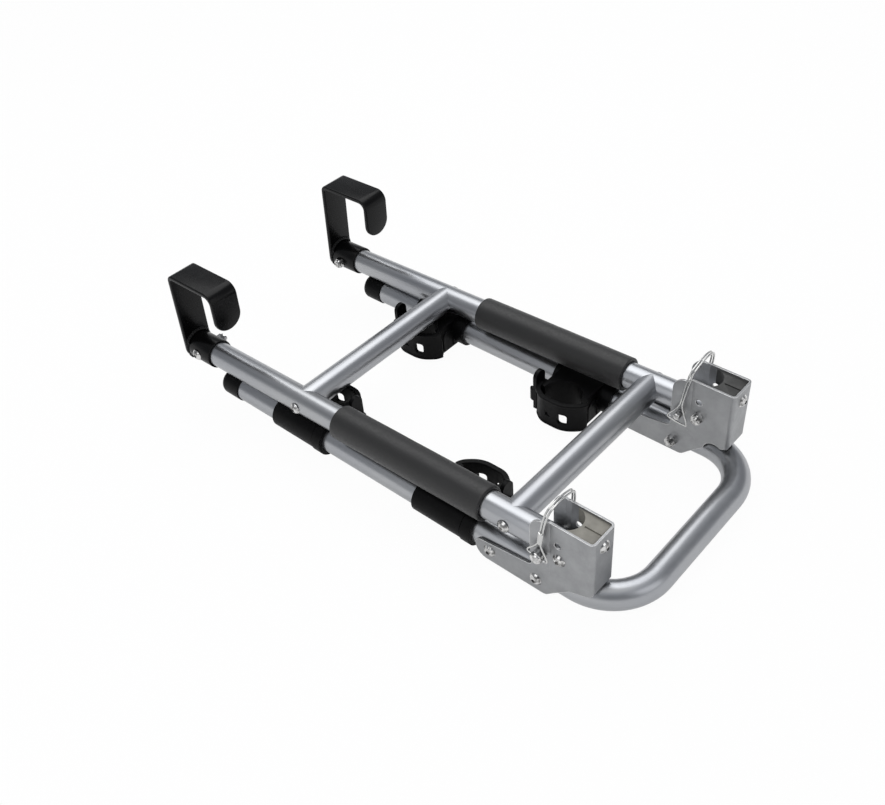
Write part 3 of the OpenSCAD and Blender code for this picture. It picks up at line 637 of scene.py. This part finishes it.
def window(outline, place, depth, corner):
    """A cutter with the outline of a hole, in X and Z, whose corners are rounded."""
    bpy.ops.mesh.primitive_circle_add(
        vertices=len(outline), radius=0.01, fill_type="NGON", location=(0, 0, 0)
    )
    cutter = bpy.context.object
    for vertex, (x, z) in zip(cutter.data.vertices, outline):
        vertex.co = (place[0] + x, place[1] - depth / 2, place[2] + z)
    bpy.ops.object.mode_set(mode="EDIT")
    bpy.ops.mesh.select_all(action="SELECT")
    bpy.ops.mesh.bevel(offset=corner, segments=6, affect="VERTICES")
    bpy.ops.mesh.select_all(action="SELECT")
    bpy.ops.mesh.extrude_region_move(TRANSFORM_OT_translate={"value": (0, depth, 0)})
    bpy.ops.mesh.select_all(action="SELECT")
    bpy.ops.mesh.normals_make_consistent(inside=False)
    bpy.ops.object.mode_set(mode="OBJECT")
    return cutter


window_outline = [(-0.0045, -0.0072), (0.0048, -0.0072), (0.0051, 0.0052), (-0.0047, 0.0052)]
triangle_outline = [(-0.003, -0.0034), (0.0034, -0.0034), (0.0034, 0.0038)]
cut_out(strap, window(window_outline, (-0.0055, band_y, -0.002), depth=0.02, corner=0.003))
cut_out(strap, window(triangle_outline, (0.0098, band_y, -0.0018), depth=0.014, corner=0.001))
peg_hole = (strap_end_x + band / 2, trough.y, 0)
bpy.ops.mesh.primitive_cylinder_add(
    vertices=32, radius=0.0024, depth=0.012, location=peg_hole, rotation=(0, math.pi / 2, 0)
)
cut_out(strap, bpy.context.object)
bpy.ops.mesh.primitive_cylinder_add(
    vertices=40, radius=0.0035, depth=2 * half_width - 0.0086, location=hinge
)
barrel = bpy.context.object
finish_with(barrel, rounded(0.0004, 2))
bpy.ops.object.transform_apply()
strap = merge_pieces(strap, barrel)
bpy.ops.object.shade_smooth_by_angle(angle=math.radians(38))
trough_drop = 0.0397
half_turn = Matrix.Rotation(math.pi, 4, "Z")
for pair, at in (("upper", 0.309), ("lower", 0.126)):
    for side, way in (("left", 1), ("right", -1)):
        bpy.ops.object.select_all(action="DESELECT")
        fitted = strap.copy()
        fitted.data = strap.data.copy()
        fitted.name = "rubber_strap_%s_%s" % (pair, side)
        bpy.context.scene.collection.objects.link(fitted)
        stand = Matrix.Translation(pivot) @ arm_lean @ Matrix.Translation((-at, way * rail_y, -trough_drop))
        fitted.matrix_world = stand @ half_turn if side == "left" else stand
        bpy.context.view_layer.objects.active = fitted
        fitted.select_set(True)
        bpy.ops.object.transform_apply()
        tag = "%s_%s" % (pair, side)
        settle(fitted, "strap_" + tag, "strap_%s_opening" % tag, strap_rubber)
bpy.data.objects.remove(strap)

# Bails
# A loose loop of bright spring wire, doubled, from the lock pin's head over the bracket to its tip.
# A small crimped sleeve holds the two strands together just above the head. The strand's points
# are in metres from the pin: along the arm, out to the side and up the leaning loop.
spring = finish("spring_wire", (0.62, 0.62, 0.61), 1, 0.2)
vary(spring, noise(spring, place_on(spring), 900), "Roughness", 0.14, 0.28)
emboss(spring, noise(spring, place_on(spring), 600, 2), 0.1, 0.00002)
wire_radius = 0.00085
bail_out, bail_height, bail_gap = 0.0216, 0.053, 0.00119
crimp_radius, crimp_length, crimp_flat = 0.0026, 0.013, 0.55
lock_back, bail_lean = 0.016, tilt + math.radians(7)
strand = [
    (0.0015, bail_out, 0), (0.0074, bail_out, 0), (0.0092, bail_out, 0.0009),
    (0.0094, bail_out, 0.0026), (0.0086, bail_out, 0.0042), (0.0024, bail_out, 0.014),
    (bail_gap, bail_out, 0.018),
    (bail_gap, bail_out - 0.001, 0.5 * bail_height), (bail_gap, bail_out - 0.0025, 0.8 * bail_height),
    (bail_gap, bail_out - 0.006, 0.935 * bail_height), (bail_gap, bail_out - 0.012, 0.985 * bail_height),
    (bail_gap, 0, 0.99 * bail_height),
    (bail_gap, 0.011 - bail_out, 0.945 * bail_height), (bail_gap, 0.0054 - bail_out, 0.89 * bail_height),
    (bail_gap, 0.003 - bail_out, 0.77 * bail_height), (bail_gap, 0.001 - bail_out, 0.5 * bail_height),
    (bail_gap, -bail_out, 0.013), (0.0024, -bail_out, 0.008), (0.0095, -bail_out, -0.0065),
    (0.0092, -bail_out, -0.0082), (0.007, -bail_out, -0.0088),
]
whole = [(-x, y, z) for x, y, z in strand] + strand[::-1]
for side, way in (("left", 1), ("right", -1)):
    stand = Matrix.Translation(pivot - Vector((lock_back, 0, 0))) @ Matrix.Rotation(bail_lean, 4, "Y")
    route = bpy.data.curves.new("bail_route", "CURVE")
    route.dimensions = "3D"
    route.bevel_depth = wire_radius
    route.bevel_resolution = 3
    route.resolution_u = 6
    line = route.splines.new("BEZIER")
    line.bezier_points.add(len(whole) - 1)
    for knot, (x, y, z) in zip(line.bezier_points, whole):
        knot.co = stand @ Vector((x, way * (rail_y + y), z))
        knot.handle_left_type = knot.handle_right_type = "AUTO"
    route.use_fill_caps = True
    bail = bpy.data.objects.new("wire_bail_" + side, route)
    bpy.context.scene.collection.objects.link(bail)
    bpy.ops.object.select_all(action="DESELECT")
    bail.select_set(True)
    bpy.context.view_layer.objects.active = bail
    bpy.ops.object.convert(target="MESH")
    bail = bpy.context.object
    bpy.ops.mesh.primitive_cylinder_add(
        vertices=32, radius=crimp_radius, depth=crimp_length, rotation=(0, bail_lean, 0),
        location=stand @ Vector((0, way * (rail_y + bail_out - 0.0004), 0.023)),
    )
    crimp = bpy.context.object
    crimp.scale = (1, crimp_flat, 1)
    finish_with(crimp, rounded(0.0005, 3))
    bpy.ops.object.transform_apply()
    bail = merge_pieces(bail, crimp)
    bpy.ops.object.shade_smooth_by_angle(angle=math.radians(50))
    settle(bail, "bail_" + side, "lock_" + side, spring)
